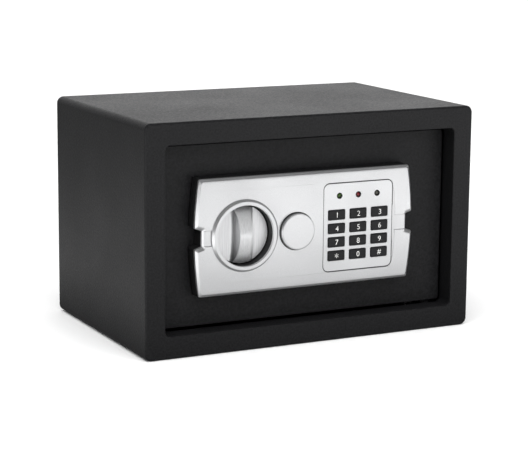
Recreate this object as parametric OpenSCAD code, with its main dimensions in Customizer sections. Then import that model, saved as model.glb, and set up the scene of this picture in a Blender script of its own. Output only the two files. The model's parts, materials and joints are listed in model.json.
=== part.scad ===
// Small electronic in-room safe: a folded steel casing with a recessed, concealed-hinge door.
// The door carries a keypad panel, a turn knob that throws two round bolts, a solenoid that
// blocks them, an emergency key lock under a cap, and a battery box under an inner cover.
// Millimetres. +X is to the right seen from the front, +Y runs from the front to the rear,
// +Z is up. The origin is the centre of the casing's underside.
// Depths named t are measured from the casing's front face towards the rear.

/* [Casing] */
// Overall width of the casing
body_w = 310; // [290:1:340]
// Overall height of the casing
body_h = 196; // [196:1:230]
// Depth of the casing from its front face to its rear face
body_d = 200; // [180:1:260]
// Thickness of the casing's sheet steel
wall = 1.5; // [1:0.1:2]
// Outside radius of the casing's four long edges
edge_r = 6; // [4:0.5:9]
// Width of the front frame at the left and right
frame_side = 18; // [15:0.5:18]
// Width of the front frame at the top and bottom
frame_top = 19; // [17:0.5:19]
// Radius of the anchor holes in the floor and the rear panel
anchor_r = 5; // [4:0.5:6]
// Distance between the two anchor holes of each pair
anchor_pitch = 180; // [120:5:200]

/* [Door] */
// Depth of the door's face behind the casing's front face
door_set = 17; // [16:0.5:18]
// Thickness of the door plate
door_t = 3; // [3:0.5:4]
// Gap between the door's side edges and the frame
gap_side = 1.55; // [1.55:0.05:2]
// Gap between the door's top and bottom edges and the frame
gap_top = 2.5; // [1.5:0.1:3]
// Radius of the hinge pins
pin_r = 3; // [2.5:0.1:3.2]

/* [Panel] */
// Width of the control panel at its middle
panel_w = 207; // [204:1:212]
// Height of the control panel
panel_h = 99; // [98:1:106]
// How far each end of the panel bows out at its middle
panel_bow = 4; // [2:0.5:6]
// Offset of the panel's centre from the door's centre
panel_x = -6.5; // [-8:0.5:-4]
// Width and height of the bevel round the silver cover
bevel = [2.3, 4]; // [1:0.1:4]

/* [Lock work] */
// Radius of each locking bolt
bolt_r = 8; // [7:0.5:8]
// Travel of the locking bolts
throw = 15; // [12:0.5:15]
// Distance between the two locking bolts
bolt_pitch = 90; // [80:1:96]
// Travel of the solenoid's plunger
plunger_drop = 5; // [4:0.5:5]

/* [Hidden] */
$fn = 96;

// Casing
front_y = -body_d / 2;
mid_z = body_h / 2;
open_w = body_w - 2 * frame_side;
open_h = body_h - 2 * frame_top;
open_r = 5;
return_depth = 18;
in_x = body_w / 2 - wall;
rear_rim = 12;
mat_t = 2.5;

// Door and hinge
door_w = open_w - 2 * gap_side;
door_h = open_h - 2 * gap_top;
door_back = door_set + door_t;
hinge_x = door_w / 2 - 12;
hinge_t = door_set + 5.5;
pin_fit = 0.05;
pin_len = 6.7;
bracket_t = 3;
bracket_z = open_h / 2 + 2;
block_end = open_h / 2 - 0.5;
washer_t = bracket_z - block_end - 0.3;

// Inner cover
cover_x = [-door_w / 2 + 8.25, door_w / 2 - 18.25];
cover_z = door_h / 2 - 6.5;
cover_depth = door_back + 32;
cover_wall = 1;
post_x = [cover_x[0] + 8, cover_x[1] - 8];
post_z = cover_z - 8;
guide_z = post_z - 5.5;

// Panel: a black base on the door with a bevelled silver cover on it
face_t = 1;
skirt_t = face_t + bevel[1];
knob_x = panel_x - 58.5;
cap_x = panel_x - 10;
pad_x = panel_x + 49.3;
pad_size = [66.6, 75.4];
pad_t = [face_t + 0.6, face_t + 3.1];
bow_r = (pow(panel_h / 2, 2) + pow(panel_bow, 2)) / (2 * panel_bow);
notch_depth = 6;
notch_half = [6.6, 9.2];
panel_screw = [92, 40];

// Keys: three columns and four rows
key_names = ["1", "2", "3", "4", "5", "6", "7", "8", "9", "star", "0", "hash"];
key_size = [16, 8.2];
key_pitch = [20.9, 11.75];
key_mid_z = mid_z - 6.8;
key_travel = 1.2;
led_pitch = 18.3;
led_z = mid_z + 27;
board_t = 9;

// Knob
mouth_r = 25.7;
knob_r = 24.5;
knob_face = face_t + 7.5;
ridge_rise = 10.5;
ridge_half = [9.65, 5.65];
arch_r = (knob_r * knob_r + ridge_rise * ridge_rise) / (2 * ridge_rise);
spindle_r = 4;

// Lock work: the crank pin swings 45 degrees each side of straight up
crank_r = throw / (2 * sin(45));
crank_pin_r = 3;
carriage_t = [31, 33];
bolt_t = 34;
bolt_tip = cover_x[0] - 3;
flange_x = bolt_tip + 27;
plunger_x = knob_x + 28.5;
plunger_tip = mid_z + 24;
solenoid_z = mid_z + 36;
cross_pin = [1.5, 2.5];
lock_r = 9;
lock_end = 38;

// Battery box
cell_r = 7;
cell_pitch = 14.5;
cell_len = 49.5;
box_x = [28, 96];
box_half_z = 30;
box_t = [33, cover_depth - cover_wall];
reset_x = cover_x[1] - 13.5;
reset_z = mid_z + 50;

// ---------- Helpers ----------

// Moves to a point given by x, depth and height
module at(x, t, z) translate([x, front_y + t, z]) children();

// Extrudes a front-view outline (x, z) between two depths
module slab(t0, t1) translate([0, front_y + t1, 0]) rotate([90, 0, 0]) linear_extrude(t1 - t0) children();

// A cylinder along the depth axis
module rod(x, z, r, t0, t1) at(x, t0, z) rotate([-90, 0, 0]) cylinder(r = r, h = t1 - t0);

// A turned piece on the depth axis: the profile is (radius, depth)
module turned(x, z) at(x, 0, z) rotate([-90, 0, 0]) rotate_extrude() children();

// A rectangle with round corners, centred
module rrect(w, h, r) {
    square([w - 2 * r, h], center = true);
    square([w, h - 2 * r], center = true);
    for (sx = [-1, 1], sz = [-1, 1]) translate([sx * (w / 2 - r), sz * (h / 2 - r)]) circle(r);
}

// A box given by its lowest corner and its highest corner in x, depth and height
module block(low, high) at(low[0], low[1], low[2]) cube(high - low);

// A slot with round ends along X, centred between two x values
module slot_x(x0, x1, r) {
    translate([x0, -r]) square([x1 - x0, 2 * r]);
    for (x = [x0, x1]) translate([x, 0]) circle(r);
}

// A cross recess for a screw head, cut from a depth towards the front or the rear
module cross_recess(x, z, size, t0, t1) {
    block([x - size / 2, t0, z - size / 8], [x + size / 2, t1, z + size / 8]);
    block([x - size / 8, t0, z - size / 2], [x + size / 8, t1, z + size / 2]);
}

// Points along a smooth curve through a list of points
function curve_point(a, b, c, d, u) =
    0.5 * ((2 * b) + (c - a) * u + (2 * a - 5 * b + 4 * c - d) * u * u
        + (3 * b - a - 3 * c + d) * u * u * u);
function smooth_path(p, steps) = [
    for (i = [0 : len(p) - 2], k = [0 : steps - 1])
        curve_point(p[max(i - 1, 0)], p[i], p[i + 1], p[min(i + 2, len(p) - 1)], k / steps),
    p[len(p) - 1]
];
function unit(v) = v / norm(v);
function tangent(p, i) = unit(p[min(i + 1, len(p) - 1)] - p[max(i - 1, 0)]);
// One ring of a tube round a path point, square to the path
function ring(p, i, r, sides, up) =
    let (d = tangent(p, i), a = unit(cross(d, up)), b = cross(d, a))
    [for (k = [0 : sides - 1]) p[i] + r * (cos(360 * k / sides) * a + sin(360 * k / sides) * b)];
// A tube along a path; up is a direction that the path never runs along
module tube(p, r, sides, up) {
    rings = len(p);
    polyhedron(
        points = [for (i = [0 : rings - 1]) each ring(p, i, r, sides, up)],
        faces = concat(
            [[for (k = [0 : sides - 1]) k]],
            [for (i = [0 : rings - 2], k = [0 : sides - 1])
                [i * sides + k, (i + 1) * sides + k, (i + 1) * sides + (k + 1) % sides,
                    i * sides + (k + 1) % sides]],
            [[for (k = [sides - 1 : -1 : 0]) (rings - 1) * sides + k]]
        )
    );
}

// ---------- Casing ----------

module casing_wrap() color("#2b2b2d") difference() {
    union() {
        // Top, bottom and side walls with the front flange
        difference() {
            slab(0, body_d) translate([0, mid_z]) rrect(body_w, body_h, edge_r);
            slab(wall, body_d + 1) translate([0, mid_z])
                rrect(body_w - 2 * wall, body_h - 2 * wall, edge_r - wall);
        }
        // Return lip round the opening
        slab(wall / 2, return_depth) translate([0, mid_z])
            rrect(open_w + 2 * wall, open_h + 2 * wall, open_r + wall);
    }
    slab(-1, return_depth + 1) translate([0, mid_z]) rrect(open_w, open_h, open_r);
    for (s = [-1, 1]) translate([s * anchor_pitch / 2, 0, -1]) cylinder(r = anchor_r, h = wall + 2);
}

module rear_panel() color("#2b2b2d") difference() {
    slab(body_d - rear_rim, body_d) translate([0, mid_z])
        rrect(body_w - 2 * wall, body_h - 2 * wall, edge_r - wall);
    slab(body_d - rear_rim - 1, body_d - wall) translate([0, mid_z])
        rrect(body_w - 4 * wall, body_h - 4 * wall, edge_r - 2 * wall);
    for (s = [-1, 1]) rod(s * anchor_pitch / 2, mid_z, anchor_r, body_d - wall - 1, body_d + 1);
}

// Two plates behind the frame that hold the door's pins
module hinge_brackets() color("#2b2b2d") for (s = [-1, 1]) {
    low = s < 0 ? -bracket_z - bracket_t : bracket_z;
    difference() {
        block([hinge_x - 12, wall, mid_z + low], [in_x, hinge_t + 10, mid_z + low + bracket_t]);
        at(hinge_x, hinge_t, mid_z + low - 1) cylinder(r = pin_r + pin_fit, h = bracket_t + 2);
    }
}

module hinge_washers() color("#1b1b1c") for (s = [-1, 1])
    at(hinge_x, hinge_t, mid_z + (s < 0 ? -bracket_z : bracket_z - washer_t)) difference() {
        cylinder(r = 4.2, h = washer_t);
        translate([0, 0, -1]) cylinder(r = pin_r + 0.1, h = washer_t + 2);
    }

// Angle that stops the door and that the thrown bolts sit behind
module strike_plate() color("#2b2b2d") {
    block([-in_x, door_back + 0.3, mid_z - 62], [-door_w / 2 + 2.75, door_back + 2.3, mid_z + 62]);
    block([-in_x, door_back + 2.3, mid_z - 62], [-in_x + 2, door_back + 22, mid_z + 62]);
}

module floor_mat() color("#4b4d50") difference() {
    block([-in_x + 5, 26, wall], [in_x - 5, body_d - rear_rim - 2, wall + mat_t]);
    for (s = [-1, 1]) translate([s * anchor_pitch / 2, 0, 0]) cylinder(r = anchor_r + 3, h = 10);
}

// ---------- Door ----------

module door_plate() color("#2d2d2f") difference() {
    slab(door_set, door_back) translate([0, mid_z]) rrect(door_w, door_h, 3);
    rod(knob_x, mid_z, spindle_r + 0.08, door_set - 1, door_back + 1);
    rod(cap_x, mid_z, lock_r, door_set - 1, door_back + 1);
    rod(pad_x, mid_z, 6, door_set - 1, door_back + 1);
    for (sx = [-1, 1], sz = [-1, 1])
        rod(panel_x + sx * panel_screw[0], mid_z + sz * panel_screw[1], 2, door_set - 1, door_back + 1);
}

// A block welded behind each corner of the door, with its pin
module hinge_pins() color("#2b2b2d") for (s = [-1, 1]) {
    low = s < 0 ? -block_end : block_end - 16;
    block([hinge_x - 5, door_back, mid_z + low], [hinge_x + 5, hinge_t + 5, mid_z + low + 16]);
    at(hinge_x, hinge_t, mid_z + (s < 0 ? -block_end - pin_len : block_end)) cylinder(r = pin_r, h = pin_len);
}

// Folded bracket at the free side that carries the bolts' bushes
module bolt_guide() color("#a6a8ab") difference() {
    union() {
        block([bolt_tip + 7, door_back, mid_z - guide_z], [bolt_tip + 9, bolt_t + 13, mid_z + guide_z]);
        block([bolt_tip + 9, door_back, mid_z - guide_z], [bolt_tip + 22, door_back + 2, mid_z + guide_z]);
    }
    for (s = [-1, 1]) at(bolt_tip + 6, bolt_t, mid_z + s * bolt_pitch / 2)
        rotate([0, 90, 0]) cylinder(r = bolt_r + 2, h = 4);
}

module guide_bushes() color("#e8e6dd") for (s = [-1, 1])
    at(bolt_tip + 5, bolt_t, mid_z + s * bolt_pitch / 2) rotate([0, 90, 0]) difference() {
        union() {
            cylinder(r = bolt_r + 2, h = 4);
            translate([0, 0, 4]) cylinder(r = bolt_r + 3.5, h = 1.5);
        }
        translate([0, 0, -1]) cylinder(r = bolt_r + 0.08, h = 8);
    }

// Shoulder studs that the bolt carriage slides on
stud_x = flange_x + 19;
stud_z = [-28, 28];
module guide_studs() color("#b9bbbe") for (z = stud_z) {
    rod(stud_x, mid_z + z, 5, door_back, carriage_t[0] - 0.3);
    rod(stud_x, mid_z + z, 3, carriage_t[0] - 0.3, carriage_t[1] + 0.3);
    rod(stud_x, mid_z + z, 5.5, carriage_t[1] + 0.3, carriage_t[1] + 2.3);
}

module cover_posts() color("#b9bbbe") for (x = post_x, s = [-1, 1])
    rod(x, mid_z + s * post_z, 4, door_back, cover_depth - cover_wall);

// Pan over the lock work, open towards the door plate
module inner_cover() color("#2d2d2f") difference() {
    slab(door_back, cover_depth) translate([(cover_x[0] + cover_x[1]) / 2, mid_z])
        rrect(cover_x[1] - cover_x[0], 2 * cover_z, 3);
    slab(door_back - 1, cover_depth - cover_wall) translate([(cover_x[0] + cover_x[1]) / 2, mid_z])
        rrect(cover_x[1] - cover_x[0] - 2 * cover_wall, 2 * (cover_z - cover_wall), 2);
    // Open slots that let the pan lift off over the bolts
    for (s = [-1, 1]) {
        at(cover_x[0] - 1, bolt_t, mid_z + s * bolt_pitch / 2)
            rotate([0, 90, 0]) cylinder(r = bolt_r + 1, h = 3);
        block([cover_x[0] - 1, door_back - 1, mid_z + s * bolt_pitch / 2 - bolt_r - 1],
            [cover_x[0] + 2, bolt_t, mid_z + s * bolt_pitch / 2 + bolt_r + 1]);
    }
    for (x = post_x, s = [-1, 1])
        rod(x, mid_z + s * post_z, 2, cover_depth - cover_wall - 1, cover_depth + 1);
    block([box_x[0] + 3, cover_depth - 3, mid_z - box_half_z + 1.5],
        [box_x[1] - 3, cover_depth + 1, mid_z + box_half_z - 1.5]);
    rod(reset_x, reset_z, 4.5, cover_depth - cover_wall - 1, cover_depth + 1);
}

module cover_screws() color("#c4c6c9") for (x = post_x, s = [-1, 1]) difference() {
    union() {
        rod(x, mid_z + s * post_z, 1.9, cover_depth - cover_wall, cover_depth);
        rod(x, mid_z + s * post_z, 3.6, cover_depth, cover_depth + 2);
    }
    cross_recess(x, mid_z + s * post_z, 3.6, cover_depth + 0.8, cover_depth + 3);
}

// ---------- Control panel ----------

// Front outline of the panel with bowed ends and a notch in each; inset shrinks it
module panel_body(inset) intersection() {
    square([panel_w - 2 * inset, panel_h - 2 * inset], center = true);
    for_each_end() circle(bow_r - inset, $fn = 720);
}
// Intersection of the two discs whose arcs are the panel's ends
module for_each_end() intersection() {
    translate([bow_r - panel_w / 2, 0]) children();
    translate([panel_w / 2 - bow_r, 0]) children();
}
// One end notch, flared towards the outside; grow widens it
module notch(s, grow) {
    x0 = panel_w / 2 - notch_depth - grow;
    polygon([[s * x0, -notch_half[0] - grow], [s * (panel_w / 2 + 1), -notch_half[1] - grow - 0.4],
        [s * (panel_w / 2 + 1), notch_half[1] + grow + 0.4], [s * x0, notch_half[0] + grow]]);
}
module panel_outline(inset) difference() {
    panel_body(inset);
    for (s = [-1, 1]) notch(s, inset);
}

// Black moulding that stands on the door, with the knob's well, the board's posts and screw bosses
module panel_base() color("#1b1b1c") difference() {
    union() {
        difference() {
            slab(skirt_t, door_set) translate([panel_x, mid_z]) panel_outline(0);
            slab(skirt_t - 1, door_set - 2) translate([panel_x, mid_z]) panel_outline(2);
        }
        difference() {
            rod(knob_x, mid_z, mouth_r + 1.6, face_t, door_set - 1);
            rod(knob_x, mid_z, mouth_r, face_t - 1, door_set - 2);
        }
        for (sx = [-1, 1], sz = [-1, 1])
            rod(panel_x + sx * panel_screw[0], mid_z + sz * panel_screw[1], 4, skirt_t + 1, door_set - 2);
        for (sx = [-1, 1], sz = [-1, 1])
            rod(pad_x + sx * 27, mid_z + sz * 32, 3, board_t + 1.6, door_set - 2);
    }
    rod(knob_x, mid_z, 6, door_set - 3, door_set + 1);
    rod(cap_x, mid_z, lock_r, door_set - 3, door_set + 1);
    rod(pad_x, mid_z, 5, door_set - 3, door_set + 1);
    for (sx = [-1, 1], sz = [-1, 1])
        rod(panel_x + sx * panel_screw[0], mid_z + sz * panel_screw[1], 1.5, skirt_t + 3, door_set + 1);
}

// Silver cover with bevelled edges
module panel_cover() color("#d3d4d6") difference() {
    hull() {
        slab(skirt_t - 0.6, skirt_t) translate([panel_x, mid_z]) panel_body(0);
        slab(face_t, face_t + 0.1) translate([panel_x, mid_z]) panel_body(bevel[0]);
    }
    for (s = [-1, 1]) translate([panel_x, 0, 0]) hull() {
        slab(skirt_t - 0.6, skirt_t + 1) translate([0, mid_z]) notch(s, 0);
        slab(face_t - 1, face_t) translate([0, mid_z]) notch(s, bevel[0]);
    }
    slab(face_t + 2, skirt_t + 1) translate([panel_x, mid_z]) panel_outline(3.6);
    // Shallow channel from each notch
    slab(face_t - 1, face_t + 0.5) translate([panel_x, mid_z]) {
        translate([-panel_w / 2, -6.5]) square([20, 13]);
        translate([panel_w / 2 - 24, -6.5]) square([24, 13]);
    }
    rod(knob_x, mid_z, mouth_r + 1.8, face_t - 1, skirt_t + 1);
    rod(cap_x, mid_z, 11.4, face_t - 1, skirt_t + 1);
    slab(face_t - 1, skirt_t + 1) translate([pad_x, mid_z]) rrect(pad_size[0] + 0.6, pad_size[1] + 0.6, 5.3);
}

module panel_screws() color("#c4c6c9") for (sx = [-1, 1], sz = [-1, 1]) difference() {
    union() {
        rod(panel_x + sx * panel_screw[0], mid_z + sz * panel_screw[1], 1.5, skirt_t + 4, door_set);
        rod(panel_x + sx * panel_screw[0], mid_z + sz * panel_screw[1], 1.9, door_set, door_back);
        rod(panel_x + sx * panel_screw[0], mid_z + sz * panel_screw[1], 3.5, door_back, door_back + 2);
    }
    cross_recess(panel_x + sx * panel_screw[0], mid_z + sz * panel_screw[1], 3.4,
        door_back + 0.9, door_back + 3);
}

// Silver key frame let into the cover, with a flange behind it
module keypad_plate() color("#d3d4d6") difference() {
    union() {
        slab(pad_t[0], pad_t[1]) translate([pad_x, mid_z]) rrect(pad_size[0], pad_size[1], 5);
        slab(face_t + 2, pad_t[1]) translate([pad_x, mid_z]) rrect(pad_size[0] + 3, pad_size[1] + 3, 5);
    }
    for (i = [0 : 11]) slab(0, 9) translate([key_x(i), key_z(i)])
        rrect(key_size[0] + 0.6, key_size[1] + 0.6, 1.1);
    for (i = [-1 : 1]) rod(pad_x + i * led_pitch, led_z, 2.5, 0, 9);
}

// Raised ring round the knob's well
module knob_bezel() color("#d8d9db") turned(knob_x, mid_z) polygon([
    [mouth_r, face_t - 2.5], [mouth_r + 3.4, face_t - 2.5], [mouth_r + 4.8, face_t - 0.6],
    [mouth_r + 4.8, face_t], [mouth_r, face_t]]);

module led(i, tint) color(tint) turned(pad_x + i * led_pitch, led_z) difference() {
    union() {
        translate([0, pad_t[0] + 2.2]) square([2.2, board_t - pad_t[0] - 2.2]);
        translate([0, pad_t[0] + 2.2]) circle(2.2);
    }
    translate([-10, -10]) square([10, 30]);
}
module led_green() led(-1, "#3f7d34");
module led_red() led(0, "#8f1f24");
module led_yellow() led(1, "#77745e");

// Board behind the keys with its parts on the rear side
module control_board() color("#2f6b3d") {
    slab(board_t, board_t + 1.6) translate([pad_x, mid_z]) square([62, 72], center = true);
    block([pad_x - 5, board_t + 1.6, mid_z - 3], [pad_x + 5, board_t + 4.6, mid_z + 5]);
    block([pad_x - 20, board_t + 1.6, mid_z + 12], [pad_x - 8, board_t + 3.2, mid_z + 24]);
    rod(pad_x + 14, mid_z + 20, 3, board_t + 1.6, board_t + 5);
    rod(pad_x + 14, mid_z - 18, 5.5, board_t + 1.6, board_t + 4.6);
}

module key_switches() color("#b9bbbe") for (i = [0 : 11])
    block([key_x(i) - 3, board_t - 1.2, key_z(i) - 3], [key_x(i) + 3, board_t, key_z(i) + 3]);

// Position of a key counted from the top left
function key_x(i) = pad_x + (i % 3 - 1) * key_pitch[0];
function key_z(i) = key_mid_z + (1.5 - floor(i / 3)) * key_pitch[1];

module key(i) color("#242426") {
    slab(pad_t[0] - 1.1, pad_t[1] + 0.3) translate([key_x(i), key_z(i)]) rrect(key_size[0], key_size[1], 0.8);
    slab(pad_t[1] + 0.3, pad_t[1] + 1.5) translate([key_x(i), key_z(i)])
        square([key_size[0] + 2, key_size[1] + 2], center = true);
    slab(pad_t[1] + 1.5, board_t - 1.4 - key_travel) translate([key_x(i), key_z(i)]) square([8, 5], center = true);
}

module cable_grommet() color("#1b1b1c") turned(pad_x, mid_z) polygon([
    [4, door_set], [6, door_set], [6, door_back], [8.5, door_back], [8.5, door_back + 1.2],
    [4, door_back + 1.2]]);

// Leads from the board to the solenoid, the battery box and the reset switch
lead_r = 1.1;
lead_out = board_t + 4.6;
solenoid_lead = [[-1.6, lead_out, 0], [-1.6, 24, 0], [-5, 27, 1], [-20, 28, 4], [-36, 28, 10],
    [-48, 28, 30], [-56, 30, 48], [plunger_x + 12.2 - pad_x, 32, 52]];
battery_lead = [[1.6, lead_out, 0], [1.6, 22, 0], [-2, 26, -3], [-14, 28.5, -6], [-27, 30, -8],
    [-31, 36, -8], [-26, 41, -8], [box_x[0] - 0.2 - pad_x, 42, -8]];
reset_lead = [[0, lead_out, 2.2], [0, 23, 2.2], [5, 27, 8], [25, 28, 30], [44, 31, 44],
    [reset_x - pad_x - 0.5, 37, 50], [reset_x - pad_x, cover_depth - 10.1, 50]];
module lead(p) at(pad_x, 0, mid_z) tube(smooth_path(p, 4), lead_r, 8, [0.13, 0.21, 0.97]);
module wiring_loom() color("#a02a26") {
    lead(solenoid_lead);
    lead(battery_lead);
    lead(reset_lead);
}

// ---------- Emergency lock ----------

module lock_barrel() color("#c9cbce") turned(cap_x, mid_z) polygon([
    [6.05, 7.5], [lock_r, 7.5], [lock_r, door_set - 4], [11, door_set - 4], [11, door_set - 2],
    [lock_r, door_set - 2], [lock_r, lock_end], [6.05, lock_end]]);

module lock_nut() color("#b9bbbe") difference() {
    at(cap_x, door_back, mid_z) rotate([-90, 0, 0]) cylinder(r = 13.6, h = 4, $fn = 6);
    rod(cap_x, mid_z, lock_r, door_back - 1, door_back + 5);
}

module lock_plug() color("#b08d4a") difference() {
    union() {
        rod(cap_x, mid_z, 6, 7, lock_end + 0.3);
        rod(cap_x, mid_z, 3, lock_end + 0.3, lock_end + 3);
    }
    block([cap_x - 4.2, 6, mid_z - 0.7], [cap_x + 4.2, 13, mid_z + 0.7]);
}

// Cam arm on the plug, drawn turned to release: its end holds the plunger's cross pin up
cam_r = 4;
cam_tip = [plunger_x - cap_x, plunger_tip + cross_pin[1] - cross_pin[0] - 0.3 - cam_r - mid_z];
module lock_cam() color("#b9bbbe") difference() {
    slab(lock_end + 0.3, lock_end + 2.3) translate([cap_x, mid_z])
        rotate(atan2(cam_tip[1], cam_tip[0])) {
            circle(7);
            translate([0, -cam_r]) square([norm(cam_tip), 2 * cam_r]);
            translate([norm(cam_tip), 0]) circle(cam_r);
        }
    rod(cap_x, mid_z, 3, lock_end - 1, lock_end + 4);
}

module override_cap() color("#d8d9db") turned(cap_x, mid_z) polygon([
    [0, face_t - 3.5], [15, face_t - 3.5], [16.4, face_t - 2.2], [16.4, face_t - 0.3],
    [11, face_t - 0.3], [11, 6], [9.4, 6], [9.4, face_t - 0.8], [0, face_t - 0.8]]);

// ---------- Solenoid ----------

module solenoid_frame() color("#a6a8ab") difference() {
    block([plunger_x - 12, door_back, solenoid_z], [plunger_x + 12, 43, solenoid_z + 32]);
    block([plunger_x - 13, door_back - 1, solenoid_z + 2], [plunger_x + 10, 44, solenoid_z + 30]);
    at(plunger_x, 32, solenoid_z - 1) cylinder(r = 3.4, h = 5);
}

module solenoid_coil() color("#b0662e") at(plunger_x - 1, 32, solenoid_z + 2) difference() {
    union() {
        cylinder(r = 10, h = 1.5);
        translate([0, 0, 1.5]) cylinder(r = 9, h = 25);
        translate([0, 0, 26.5]) cylinder(r = 10, h = 1.5);
    }
    translate([1, 0, -1]) cylinder(r = 3.4, h = 30);
}

// Plunger drawn retracted, with a collar for its spring and a cross pin that the cam lifts
module solenoid_plunger() color("#c4c6c9") {
    at(plunger_x, 32, plunger_tip) cylinder(r = 3, h = 36);
    at(plunger_x, 32, plunger_tip + 5) cylinder(r = 5, h = 1);
    rod(plunger_x, plunger_tip + cross_pin[1], cross_pin[0], 33, lock_end + 3.5);
}

spring_turns = 3;
spring_low = plunger_tip + 6.4;
spring_len = solenoid_z - 0.4 - spring_low;
module plunger_spring() color("#c4c6c9") at(plunger_x, 32, spring_low)
    tube([for (i = [0 : 16 * spring_turns])
            let (a = i * 360 / 16, h = spring_len * i / (16 * spring_turns))
            [4.1 * cos(a), 4.1 * sin(a), h]], 0.35, 6, [0, 0, 1]);

// ---------- Knob and bolt work ----------

// Disc with an arched grip whose sides are hollowed
module knob() color("#d0d1d4") {
    difference() {
        union() {
            rod(knob_x, mid_z, knob_r, knob_face, knob_face + 3);
            intersection() {
                translate([knob_x, 0, mid_z - knob_r]) linear_extrude(2 * knob_r) ridge_profile();
                rod(knob_x, mid_z, knob_r - 0.2, knob_face - ridge_rise - 1, knob_face + 1);
                at(knob_x - 12, knob_face - ridge_rise + arch_r, mid_z)
                    rotate([0, 90, 0]) cylinder(r = arch_r, h = 24, $fn = 200);
            }
            rod(knob_x, mid_z, 5.6, knob_face + 3, knob_face + 6);
        }
        rod(knob_x, mid_z, spindle_r, knob_face + 1, knob_face + 7);
    }
}
// Section of the grip across the knob, seen from above, with concave sides
module ridge_profile() {
    base_y = front_y + knob_face + 0.5;
    top_y = front_y + knob_face - ridge_rise - 0.5;
    hollow_r = 22;
    mid = [(ridge_half[0] + ridge_half[1]) / 2, (base_y + top_y) / 2];
    run = [ridge_half[0] - ridge_half[1], base_y - top_y];
    chord = norm(run);
    away = sqrt(hollow_r * hollow_r - chord * chord / 4);
    difference() {
        translate([-ridge_half[0] - 1, top_y]) square([2 * ridge_half[0] + 2, base_y - top_y + 0.5]);
        for (s = [-1, 1])
            translate([s * (mid[0] + away * run[1] / chord), mid[1] - away * run[0] / chord])
                circle(hollow_r);
    }
}

module knob_spindle() color("#c4c6c9") rod(knob_x, mid_z, spindle_r, knob_face + 1, door_back + 4);

module crank() color("#a6a8ab") difference() {
    union() {
        rod(knob_x, mid_z, 15, door_back + 1, door_back + 4);
        rod(knob_x + crank_r * sin(45), mid_z + crank_r * cos(45), crank_pin_r, door_back + 4,
            carriage_t[1] + 2);
    }
    rod(knob_x, mid_z, spindle_r, door_back, door_back + 5);
}

// Sliding plate, drawn withdrawn: a flange for the bolts, guide slots, the crank's slot and a
// tail with a ramped tooth that the plunger drops behind
module bolt_carriage() color("#a6a8ab") {
    block([flange_x, carriage_t[0], mid_z - 55], [flange_x + 2, bolt_t + 9, mid_z + 55]);
    difference() {
        slab(carriage_t[0], carriage_t[1]) {
            translate([flange_x + 2, mid_z - 36]) square([38, 72]);
            translate([flange_x + 40, mid_z + 2]) square([14, 16]);
            translate([0, mid_z]) polygon([
                [flange_x + 54, 10.5], [flange_x + 94, 10.5], [flange_x + 94, 22.5], [plunger_x + 19, 22.5],
                [plunger_x + 19, 18], [plunger_x + 10.8, 18], [plunger_x + 10.8, 22.5],
                [plunger_x + 7, 22.5], [plunger_x + 3.8, 18], [flange_x + 54, 18]]);
        }
        slab(carriage_t[0] - 1, carriage_t[1] + 1) {
            for (z = stud_z) translate([0, mid_z + z]) slot_x(stud_x, stud_x + throw, 3.3);
            translate([knob_x + throw / 2, mid_z + crank_r]) {
                translate([-crank_pin_r - 0.6, -7]) square([2 * crank_pin_r + 1.2, 7.2]);
                translate([0, 0.2]) circle(crank_pin_r + 0.6);
                translate([0, -7]) circle(crank_pin_r + 0.6);
            }
        }
    }
}

module locking_bolts() color("#c9cbce") for (s = [-1, 1])
    at(bolt_tip, bolt_t, mid_z + s * bolt_pitch / 2) rotate([0, 90, 0]) {
        cylinder(r1 = bolt_r - 1, r2 = bolt_r, h = 1);
        translate([0, 0, 1]) cylinder(r = bolt_r, h = flange_x - bolt_tip - 1);
    }

module bolt_screws() color("#b9bbbe") for (s = [-1, 1])
    at(flange_x + 2, bolt_t, mid_z + s * bolt_pitch / 2)
        rotate([0, 90, 0]) cylinder(r = 4.6, h = 4, $fn = 6);

// ---------- Power and reset ----------

module battery_box() color("#1b1b1c") difference() {
    block([box_x[0], box_t[0], mid_z - box_half_z], [box_x[1], box_t[1], mid_z + box_half_z]);
    block([box_x[0] + 1.5, box_t[0] + 1.5, mid_z - box_half_z + 1], [box_x[1] - 1.5, box_t[1] + 1, mid_z + box_half_z - 1]);
}

// Four cells side by side, each the other way round from the next
module batteries() color("#3a5f8a") for (i = [0 : 3]) {
    x0 = (box_x[0] + box_x[1] - cell_len) / 2;
    at(x0, box_t[0] + 1.8 + cell_r, mid_z + (i - 1.5) * cell_pitch) rotate([0, 90, 0])
        if (i % 2 == 0) {
            cylinder(r = cell_r, h = cell_len - 1.5);
            translate([0, 0, cell_len - 1.5]) cylinder(r = 2.7, h = 1.5);
        } else {
            translate([0, 0, 1.5]) cylinder(r = cell_r, h = cell_len - 1.5);
            cylinder(r = 2.7, h = 1.5);
        }
}

module battery_contacts() color("#c9cbce") for (i = [0 : 3], s = [-1, 1]) {
    x = s < 0 ? box_x[0] + 1.5 : box_x[1] - 2;
    block([x, box_t[0] + 3, mid_z + (i - 1.5) * cell_pitch - 5],
        [x + 0.5, box_t[1] - 3, mid_z + (i - 1.5) * cell_pitch + 5]);
    at(s < 0 ? x + 0.5 : (box_x[0] + box_x[1] + cell_len) / 2, box_t[0] + 1.8 + cell_r,
        mid_z + (i - 1.5) * cell_pitch) rotate([0, 90, 0])
        cylinder(r = 3, h = (box_x[1] - box_x[0] - cell_len) / 2 - 2);
}

module battery_lid() color("#242426") {
    slab(cover_depth + 0.3, cover_depth + 2.1) translate([(box_x[0] + box_x[1]) / 2, mid_z])
        rrect(box_x[1] - box_x[0] + 4, 2 * box_half_z + 4, 3);
    for (s = [-1, 1]) block([(box_x[0] + box_x[1]) / 2 - 8, cover_depth - 2.5, mid_z + s * 27.4 - 0.8],
        [(box_x[0] + box_x[1]) / 2 + 8, cover_depth + 0.3, mid_z + s * 27.4 + 0.8]);
}

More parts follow.
